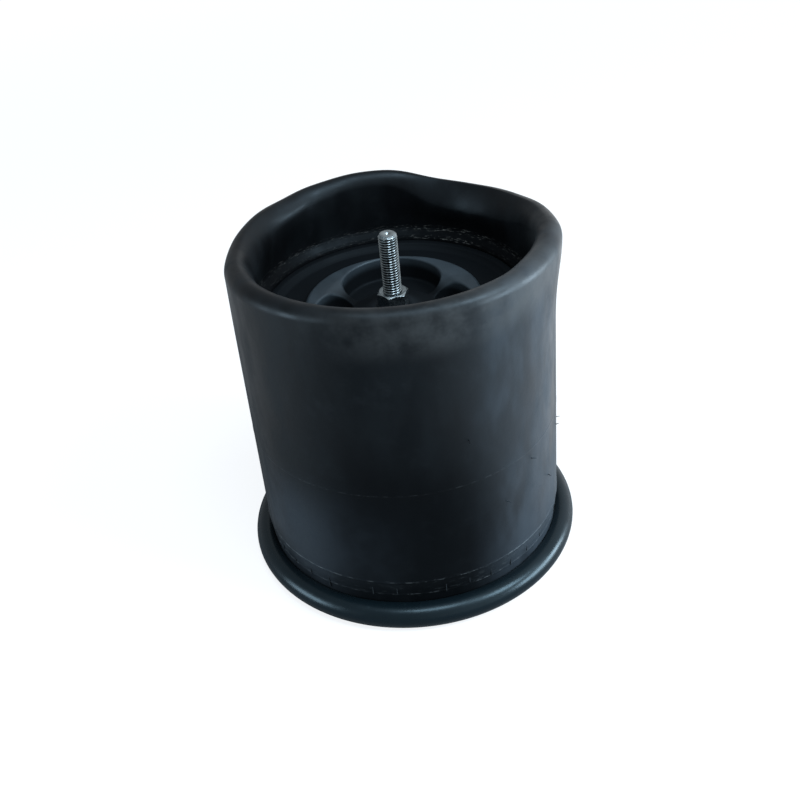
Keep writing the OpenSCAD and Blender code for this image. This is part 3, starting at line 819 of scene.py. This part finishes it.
class AIRSPRING_OT_mould_marks(bpy.types.Operator):
    """Make the flash that the mould leaves on the sleeve's neck, and the whiskers of its vents"""
    bl_idname = "airspring.mould_marks"
    bl_label = "Mould marks"

    def execute(self, context):
        sleeve = settings("sleeve")
        # The marks stand on the middle of the flare
        middle = (RIM_TOP + NECK_TOP) / 2
        flare_r = float(wall_face(np.array(middle), 0.0))
        # Torn rubber is paler than the skin of the moulding
        torn = moulded_rubber("torn_rubber_flash", "#2b3034", worn=False)
        flash = bake_tree("neck_flash", flash_tree(), "rubber_cover", torn, count=sleeve.flash_count,
                          radius=flare_r, middle=middle + 1 * MM, spread=7 * MM,
                          length=NECK_TOP - RIM_TOP, depth=0.8 * MM, width=0.45 * MM)
        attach(flash, "bead_plate_body")
        whiskers = bake_tree("vent_whiskers", whisker_tree(), "rubber_cover", MATERIALS["rubber_cover"],
                             count=sleeve.vent_count, radius=WALL_R, middle=100 * MM, spread=80 * MM,
                             length=5 * MM, foot_radius=0.35 * MM, tip_radius=0.15 * MM)
        blend_wall(whiskers)
        return {"FINISHED"}


# The end plate's groove, and its section from there outwards and down, in millimetres: radius, or distance in
# from the edge, and height over the seat of the nut
GROOVE_ROWS = ((60, -0.5), (60.7, -0.5))
EDGE_ROWS = ((8.6, -0.5), (8, -0.42), (5.6, 2.3), (5.2, 2.95), (4.7, 3.4), (4, 3.5), (1.2, 3.5), (0.6, 3.34),
             (0.16, 2.9), (0, 2.3), (0, 0.5), (5, 0.5), (6.2, -14))
# Where the section's flats and slopes end, from the nut's seat to the ring: radius, and height over the seat
SPOKE_ROWS = ((13.4, 0), (27.2, -3.6), (28.8, -4), (41.7, 3.8))
RING_IN_R, RING_OUT_R = 47 * MM, 57 * MM
RING_IN_ROUND, RING_OUT_ROUND = 7.5 * MM, 2.5 * MM
HUB_R = 28 * MM
# The stud's hole and the flat seat of the nut round it
HOLE_R, FLAT_R = 6.2 * MM, 13.4 * MM
SPOKE_HALF = 2.5 * MM
POCKET_R, POCKET_OFFSET = 33 * MM, 21 * MM
POCKET_CORNER, POCKET_HUB_CORNER = 6 * MM, 4 * MM
POCKET_FLOOR = low("end_plate") + 4 * MM
SEAT_Z = low("piston_nut")
PLATE_STEPS = 180


def plate_height(radius):
    """Height of the end plate's top at a radius, before its pockets."""
    r, z = np.array(SPOKE_ROWS).T * MM
    slopes = SEAT_Z + np.interp(radius, r, z)
    # The slope runs out level in the ring, whose outer edge is rounded until it is nearly upright
    into = np.clip(RING_IN_R - radius, 0, RING_IN_ROUND)
    blend = RING_Z - RING_IN_ROUND + np.sqrt(RING_IN_ROUND ** 2 - into ** 2)
    past = np.clip(radius - RING_OUT_R + RING_OUT_ROUND, 0, RING_OUT_ROUND * 0.94)
    edge = RING_Z - RING_OUT_ROUND + np.sqrt(RING_OUT_ROUND ** 2 - past ** 2)
    return np.where(radius < r[-1], slopes, np.minimum(blend, edge))


def round_max(a, b, radius):
    """The larger of two distances, with the corner between them rounded."""
    corner = np.hypot(np.maximum(a + radius, 0), np.maximum(b + radius, 0))
    return np.minimum(-radius, np.maximum(a, b)) + corner


def pocket_distance(x, y):
    """Distance outside the outline of the pocket that is centred on +X. It is negative inside."""
    far = np.hypot(x - POCKET_OFFSET, y) - POCKET_R
    side = SPOKE_HALF - math.sin(math.pi / 3) * x + math.cos(math.pi / 3) * np.abs(y)
    return round_max(round_max(far, side, POCKET_CORNER), HUB_R - np.hypot(x, y), POCKET_HUB_CORNER)


def spun(xs, ys, angle):
    """Points turned about the spring's axis."""
    return xs * math.cos(angle) - ys * math.sin(angle), xs * math.sin(angle) + ys * math.cos(angle)


def pocket_loop(distance, steps):
    """Points of the closed curve that lies this far outside the pocket's outline, by halving along rays."""
    angles = divided_turn(steps)
    inner, outer = np.zeros(steps), np.full(steps, 40 * MM)
    middle = 44 * MM
    for _ in range(30):
        t = (inner + outer) / 2
        beyond = pocket_distance(middle + t * np.cos(angles), t * np.sin(angles)) > distance
        inner, outer = np.where(beyond, inner, t), np.where(beyond, t, outer)
    return middle + outer * np.cos(angles), outer * np.sin(angles)


def pocket_depth(distance, top):
    """Height of the surface at a distance from a pocket's outline: rounded edge, wall, fillet and floor."""
    edge = settings("plate").pocket_radius
    wall, fillet = 0.3 * MM, 2 * MM
    if distance >= 0:
        into = max(edge - distance, 0)
        return top - edge + math.sqrt(edge ** 2 - into ** 2)
    into = min(max(-distance - wall, 0), fillet)
    return POCKET_FLOOR + fillet - math.sqrt(fillet ** 2 - (fillet - into) ** 2)


def plate_top():
    """Points and faces of the end plate's top from the stud's hole to the ring's foot, pockets included."""
    flat, heights, edges = [], [], []

    def add_loop(xs, ys, zs, closed=True):
        first, count = len(flat), len(xs)
        flat.extend(zip(xs, ys))
        heights.extend(zs)
        if closed:
            edges.extend((first + k, first + (k + 1) % count) for k in range(count))

    turn = divided_turn(PLATE_STEPS)
    edge = settings("plate").pocket_radius
    for radius in (HOLE_R, FLAT_R, 20 * MM, 24 * MM, RING_OUT_R):
        level = float(plate_height(radius))
        add_loop(radius * np.cos(turn), radius * np.sin(turn), np.full(PLATE_STEPS, level))
    distances = [edge * k for k in (1.15, 1.0, 0.7, 0.45, 0.25, 0.1, 0.02, 0.0)]
    distances += [-d * MM for d in (0.3, 0.4, 0.65, 1.0, 1.5, 2.3, 4.5)]
    for distance in distances:
        xs, ys = pocket_loop(distance, 150)
        top = plate_height(np.hypot(xs, ys))
        zs = [pocket_depth(distance, float(t)) for t in top]
        for k in range(3):
            add_loop(*spun(xs, ys, math.pi / 2 + k * TURN / 3), zs)
    # Loose points carry the slopes between the pockets
    slopes, ring_edge = np.arange(25.5, 41, 1.6), np.arange(54.7, 56.7, 0.4)
    rows = np.concatenate([slopes, np.arange(41.7, 47.1, 0.9), (49, 51.5, 54.2), ring_edge])
    for radius in rows * MM:
        xs, ys = radius * np.cos(turn), radius * np.sin(turn)
        away = np.full(PLATE_STEPS, 1.0)
        for k in range(3):
            away = np.minimum(away, pocket_distance(*spun(xs, ys, -math.pi / 2 - k * TURN / 3)))
        free = away > edge * 1.3
        add_loop(xs[free], ys[free], plate_height(np.full(free.sum(), radius)), closed=False)
    points, _, triangles, origins, _, _ = delaunay_2d_cdt([Vector(p) for p in flat], edges, [], 0, 1e-9, True)
    solid = [(p.x, p.y, heights[origin[0]]) for p, origin in zip(points, origins)]
    # Triangles whose middle lies in the stud's hole are left out
    middles = [[sum(solid[i][k] for i in t) / 3 for k in (0, 1)] for t in triangles]
    return solid, [t for t, middle in zip(triangles, middles) if math.hypot(*middle) > HOLE_R - 0.1 * MM]


class AIRSPRING_OT_end_plate(bpy.types.Operator):
    """Make the end plate, whose hub, three spokes and ring run into each other round its pockets"""
    bl_idname = "airspring.end_plate"
    bl_label = "End plate"

    def execute(self, context):
        top, faces = plate_top()
        rows = [(RING_OUT_R, float(plate_height(RING_OUT_R)))]
        rows += [(r * MM, SEAT_Z + z * MM) for r, z in GROOVE_ROWS]
        rows += [(EDGE_R - inwards * MM, SEAT_Z + z * MM) for inwards, z in EDGE_ROWS]
        rows += [(HOLE_R, SEAT_Z - 14 * MM), (HOLE_R, SEAT_Z)]
        points, sides = turned(rows, poles=False, first=len(top), steps=PLATE_STEPS)
        plate = new_piece("end_plate_moulding", top + points, faces + sides, "moulded_nylon", sharp=50)
        stand_in(plate, "piston_end", "end_plate")
        return {"FINISHED"}


def hexagon_radius(half_flat, angles):
    """Distance of a hexagon's sides from its middle, at each angle."""
    return half_flat / np.cos(np.mod(angles, math.pi / 3) - math.pi / 6)


def thread_radius(angles, height, crest_r, pitch):
    """Radius of an ISO metric thread at this height, at each angle."""
    depth = 0.6134 * pitch
    phase = np.mod(height / pitch - angles / TURN, 1)
    return crest_r - depth * np.clip((np.abs(2 * phase - 1) - 0.125) / 0.625, 0, 1)


class AIRSPRING_OT_stud(bpy.types.Operator):
    """Turn the piston stud with its M12 thread, chamfer and centre drilling"""
    bl_idname = "airspring.stud"
    bl_label = "Piston stud"

    def execute(self, context):
        angles = divided_turn(90)
        engaged_r, drill_r, chamfer = 5.43 * MM, 1.6 * MM, 1.2 * MM
        pitch = settings("stud").pitch
        nut_top = high("piston_nut")
        rows = [(STUD_R, low("piston_stud")), (STUD_R, SEAT_Z)]
        rows += [(engaged_r, SEAT_Z), (engaged_r, nut_top - 0.4 * MM)]
        for height in np.arange(nut_top - 0.3 * MM, STUD_TOP - 0.1 * MM, pitch / 12):
            crest_r = min(STUD_R, STUD_R - (height - STUD_TOP + chamfer))
            # The nut leaves only its own bore for the first turn
            room = engaged_r + max(height - nut_top, 0) * 4
            thread = thread_radius(angles, height, STUD_R, pitch)
            rows.append((np.minimum(thread, min(crest_r, room)), height))
        rows += [(STUD_R - chamfer - 0.05 * MM, STUD_TOP), (drill_r + 0.3 * MM, STUD_TOP)]
        drilling = ((drill_r, 0.15 * MM), (0.9 * MM, 1 * MM), (0.2 * MM, 1.6 * MM))
        rows += [(radius, STUD_TOP - depth) for radius, depth in drilling]
        stud = lathe("piston_stud_threaded", rows, "zinc_plate", sharp=45)
        stand_in(stud, "piston_end", "piston_stud")
        return {"FINISHED"}


class AIRSPRING_OT_nut(bpy.types.Operator):
    """Make the piston nut: a hexagon with 30 degree chamfers and a countersunk bore"""
    bl_idname = "airspring.nut"
    bl_label = "Piston nut"

    def execute(self, context):
        seat_r, bore_r = 8.6 * MM, 5.46 * MM
        bottom, top = low("piston_nut"), high("piston_nut")
        hexagon = hexagon_radius(9 * MM, divided_turn(360) - math.radians(13))
        rows = [(bore_r, bottom + 0.8 * MM), (bore_r + 0.8 * MM, bottom), (seat_r, bottom)]
        steps = np.linspace(0.12, 1.1, 9) * MM
        cones = seat_r + steps / math.tan(math.radians(30))
        rows += [(np.minimum(hexagon, cone), bottom + up) for cone, up in zip(cones, steps)]
        rows += [(np.minimum(hexagon, cone), top - up) for cone, up in zip(cones[::-1], steps[::-1])]
        rows += [(seat_r, top), (bore_r + 0.8 * MM, top), (bore_r, top - 0.8 * MM)]
        nut = lathe("piston_nut_hexagon", rows, "zinc_plate", bore=True, sharp=25)
        stand_in(nut, "piston_end", "piston_nut")
        return {"FINISHED"}


def threaded_mouth(thread_r, pitch, top, outside_r):
    """Rows of a tapped hole from its inner end down to its countersunk mouth in the plate's face."""
    angles = divided_turn(72)
    heights = np.arange(top, 0.9 * MM, -pitch / 8)
    rows = [(thread_radius(angles, height, thread_r, pitch), height) for height in heights]
    rows += [(thread_r, 0.8 * MM), (thread_r + 0.3 * MM, 0.1 * MM), (thread_r + 0.4 * MM, 0)]
    return rows + [(outside_r, 0)]


class AIRSPRING_OT_inserts(bpy.types.Operator):
    """Make the two M12 blind nuts and the M16 air inlet boss, tapped from the plate's face"""
    bl_idname = "airspring.inserts"
    bl_label = "Tapped inserts"

    def execute(self, context):
        # Each insert goes through the plate with a shank round its bore
        plate, shank = 3 * MM, 3 * MM
        corner_r, bore_r = 12.7 * MM, 5.1 * MM
        top = high("blind_nuts")
        centre_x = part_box("blind_nuts")[1].x - corner_r
        half_flat = corner_r * math.cos(math.pi / 6)
        hexagon = hexagon_radius(half_flat, divided_turn(72))
        rows = [(0.5 * MM, top - 3 * MM), (5 * MM, top - 3 * MM)]
        rows += threaded_mouth(6.05 * MM, settings("stud").pitch, top - 4 * MM, bore_r + shank)
        rows += [(bore_r + shank, plate), (hexagon, plate), (hexagon, top - 1.2 * MM)]
        for step in (1.2 * MM, 0.7 * MM, 0.3 * MM):
            rows.append((np.minimum(hexagon, half_flat + step), top - step / math.sqrt(3)))
        rows += [(half_flat - 0.4 * MM, top), (0.5 * MM, top)]
        points, faces = turned(rows, centre=(-centre_x, 0.0))
        others = turned(rows, centre=(centre_x, 0.0), first=len(points))
        nuts = new_piece("blind_nuts_tapped", points + others[0], faces + others[1], "zinc_plate", sharp=30)
        stand_in(nuts, "bead_plate_body", "blind_nuts")
        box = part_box("air_inlet_boss")
        top = box[1].z
        body_r, bore_r = (box[1].x - box[0].x) / 2, 7.25 * MM
        rows = threaded_mouth(8 * MM, 1.5 * MM, top - 0.6 * MM, bore_r + shank)
        rows += [(bore_r + shank, plate), (body_r, plate), (body_r, top - 0.6 * MM)]
        rows += [(body_r - 0.6 * MM, top), (8 * MM, top)]
        points, faces = turned(rows, bore=True, centre=(0.0, (box[0].y + box[1].y) / 2))
        boss = new_piece("air_inlet_tapped", points, faces, "zinc_plate", sharp=30)
        stand_in(boss, "bead_plate_body", "air_inlet_boss")
        return {"FINISHED"}


class AIRSPRING_OT_cad_finishes(bpy.types.Operator):
    """Give each carried-over node the finish of its slot"""
    bl_idname = "airspring.cad_finishes"
    bl_label = "Finishes of the packed nodes"

    def execute(self, context):
        for part in frame["record"]["subparts"]:
            mesh = frame["nodes"][part["node"]].data
            mesh.materials.clear()
            # The beads are cured against the steel and the nylon, and come out duller than the wall
            dull = part["node"] in ("small_bead", "large_bead")
            mesh.materials.append(MATERIALS["rubber_bead" if dull else part["material_slot"]])
        return {"FINISHED"}


# Camera fitted to the photograph: where it stands, what it looks at and how far it is turned about its view
CAMERA_PLACE = (0.0, -630 * MM, 543 * MM)
CAMERA_TARGET = (-2.2 * MM, -15 * MM, 116 * MM)
CAMERA_ROLL = math.radians(-5.7)


def aim(obj, place_at, target, roll=0.0):
    """Stands a camera or lamp at a place, looking at the target and turned about its view."""
    view = (Vector(target) - Vector(place_at)).to_track_quat("-Z", "Y").to_matrix().to_4x4()
    obj.matrix_world = Matrix.Translation(place_at) @ view @ Matrix.Rotation(roll, 4, "Z")


def soft_lamp(name, place_at, width, height, power):
    """A soft lamp, slightly blue, that looks at the middle of the spring."""
    lamp = bpy.data.lights.new(name, "AREA")
    lamp.shape = "RECTANGLE"
    lamp.size, lamp.size_y = width, height
    lamp.energy = power
    lamp.color = linear("#d9e8f2")[:3]
    aim(add_object(name, lamp), place_at, (0, 0, 150 * MM))


def seen_directly(tree, side):
    """What rays see of the white background: 1 from the camera and through glass, and less when mirrored."""
    rays = tree.nodes.new("ShaderNodeLightPath").outputs
    seen = overlap(tree, rays["Is Glossy Ray"], side)
    for kind in ("Is Camera Ray", "Is Transmission Ray"):
        seen = add_node(tree, "ShaderNodeMath", (seen, rays[kind]), operation="MAXIMUM")
    return seen


def pale_floor():
    """Matt white studio floor. What looks at it directly sees it white, with the shadow kept.
    It mirrors darker on the left, and darkest in front of the spring."""
    material, tree, place = new_material("matt_white_floor")
    across = add_node(tree, "ShaderNodeSeparateXYZ", (place,))
    right = add_node(tree, "ShaderNodeMapRange", (across, 0.07, 0.24, 0.02), **SOFT)
    left = add_node(tree, "ShaderNodeMapRange", (across, -0.16, -0.36, 0.02, 0.3), **SOFT)
    side = add_node(tree, "ShaderNodeMath", (right, left), operation="MAXIMUM")
    # The lamps fall off towards the horizon, and the glow makes up for it
    strength = add_node(tree, "ShaderNodeMapRange", (axis_distance(tree, place), 0.5, 2.5, 0.84), **SOFT)
    matt = add_node(tree, "ShaderNodeBsdfDiffuse", {"Color": "#888b8e"})
    seen = overlap(tree, seen_directly(tree, side), strength)
    glow = add_node(tree, "ShaderNodeEmission", {"Color": "#fbfdff", "Strength": seen})
    both = add_node(tree, "ShaderNodeAddShader", (matt, glow))
    add_node(tree, "ShaderNodeOutputMaterial", (both,))
    return material


class AIRSPRING_OT_stage(bpy.types.Operator):
    """Make the floor, the lamps, the world and the camera"""
    bl_idname = "airspring.stage"
    bl_label = "Stage"

    def execute(self, context):
        scene = context.scene
        half = 15.0
        corners = [(-half, -half, 0), (half, -half, 0), (half, half, 0), (-half, half, 0)]
        mesh = bpy.data.meshes.new("studio_floor")
        mesh.from_pydata(corners, [], [(0, 1, 2, 3)])
        mesh.materials.append(pale_floor())
        floor = add_object("studio_floor", mesh)
        floor.location.z = CAD_BOX[0][2] - 0.05 * MM
        power = settings("stage").lamp_power
        soft_lamp("right_soft_lamp", (0.8, -0.4, 1.0), 0.4, 0.5, power * 1.1)
        soft_lamp("right_low_lamp", (1.0, -0.15, 0.2), 0.8, 0.34, power * 1.6)
        soft_lamp("left_low_lamp", (-0.95, -0.3, 0.24), 0.5, 0.4, power * 0.6)
        soft_lamp("top_soft_lamp", (0.1, -0.4, 1.15), 0.4, 0.35, power * 0.6)
        world = bpy.data.worlds.new("white_studio")
        world.use_nodes = True
        tree = world.node_tree
        tree.nodes.clear()
        # The studio's left side is dark, as the spring's left side mirrors in the photograph
        way = add_node(tree, "ShaderNodeTexCoord", output="Generated")
        across = add_node(tree, "ShaderNodeSeparateXYZ", (way,))
        side = add_node(tree, "ShaderNodeMapRange", (across, -0.4, 0.8, 0.35, 0.95), **SOFT)
        diffuse = overlap(tree, add_node(tree, "ShaderNodeLightPath", output="Is Diffuse Ray"), 0.35)
        strength = add_node(tree, "ShaderNodeMath", (seen_directly(tree, side), diffuse), operation="MAXIMUM")
        back = add_node(tree, "ShaderNodeBackground", {"Color": "#fbfdff", "Strength": strength})
        add_node(tree, "ShaderNodeOutputWorld", (back,))
        scene.world = world
        camera = bpy.data.cameras.new("photo_camera")
        camera.lens = settings("stage").lens
        camera.sensor_width = 36
        camera.clip_start = 0.01
        eye = add_object("photo_camera", camera)
        aim(eye, CAMERA_PLACE, CAMERA_TARGET, CAMERA_ROLL)
        scene.camera = eye
        scene.view_settings.view_transform = "Standard"
        return {"FINISHED"}


OPERATORS = (
    AIRSPRING_OT_cad_finishes,
    AIRSPRING_OT_sleeve,
    AIRSPRING_OT_mould_marks,
    AIRSPRING_OT_end_plate,
    AIRSPRING_OT_stud,
    AIRSPRING_OT_nut,
    AIRSPRING_OT_inserts,
    AIRSPRING_OT_stage,
)


class AIRSPRING_PT_panel(bpy.types.Panel):
    """Shows the spring's settings and a button for each of its steps"""
    bl_idname = "AIRSPRING_PT_panel"
    bl_label = "Air Spring"
    bl_space_type = "VIEW_3D"
    bl_region_type = "UI"
    bl_category = "Air Spring"

    def draw(self, context):
        for kind in SETTINGS:
            box = self.layout.box()
            box.label(text=kind.capitalize())
            group = settings(kind)
            for name in group.__annotations__:
                box.prop(group, name)
        for operator in OPERATORS:
            self.layout.operator(operator.bl_idname)


SETTINGS = {"sleeve": SleeveSettings, "plate": PlateSettings, "stud": StudSettings, "stage": StageSettings}
CLASSES = (*SETTINGS.values(), *OPERATORS, AIRSPRING_PT_panel)


def register():
    for cls in CLASSES:
        bpy.utils.register_class(cls)
    for kind, group in SETTINGS.items():
        setattr(bpy.types.Scene, "air_spring_" + kind, PointerProperty(type=group))


def unregister():
    for kind in SETTINGS:
        delattr(bpy.types.Scene, "air_spring_" + kind)
    for cls in reversed(CLASSES):
        bpy.utils.unregister_class(cls)


def main():
    register()
    MATERIALS.update(make_materials())
    for operator in OPERATORS:
        group, name = operator.bl_idname.split(".")
        getattr(getattr(bpy.ops, group), name)()


if __name__ == "__main__":
    main()
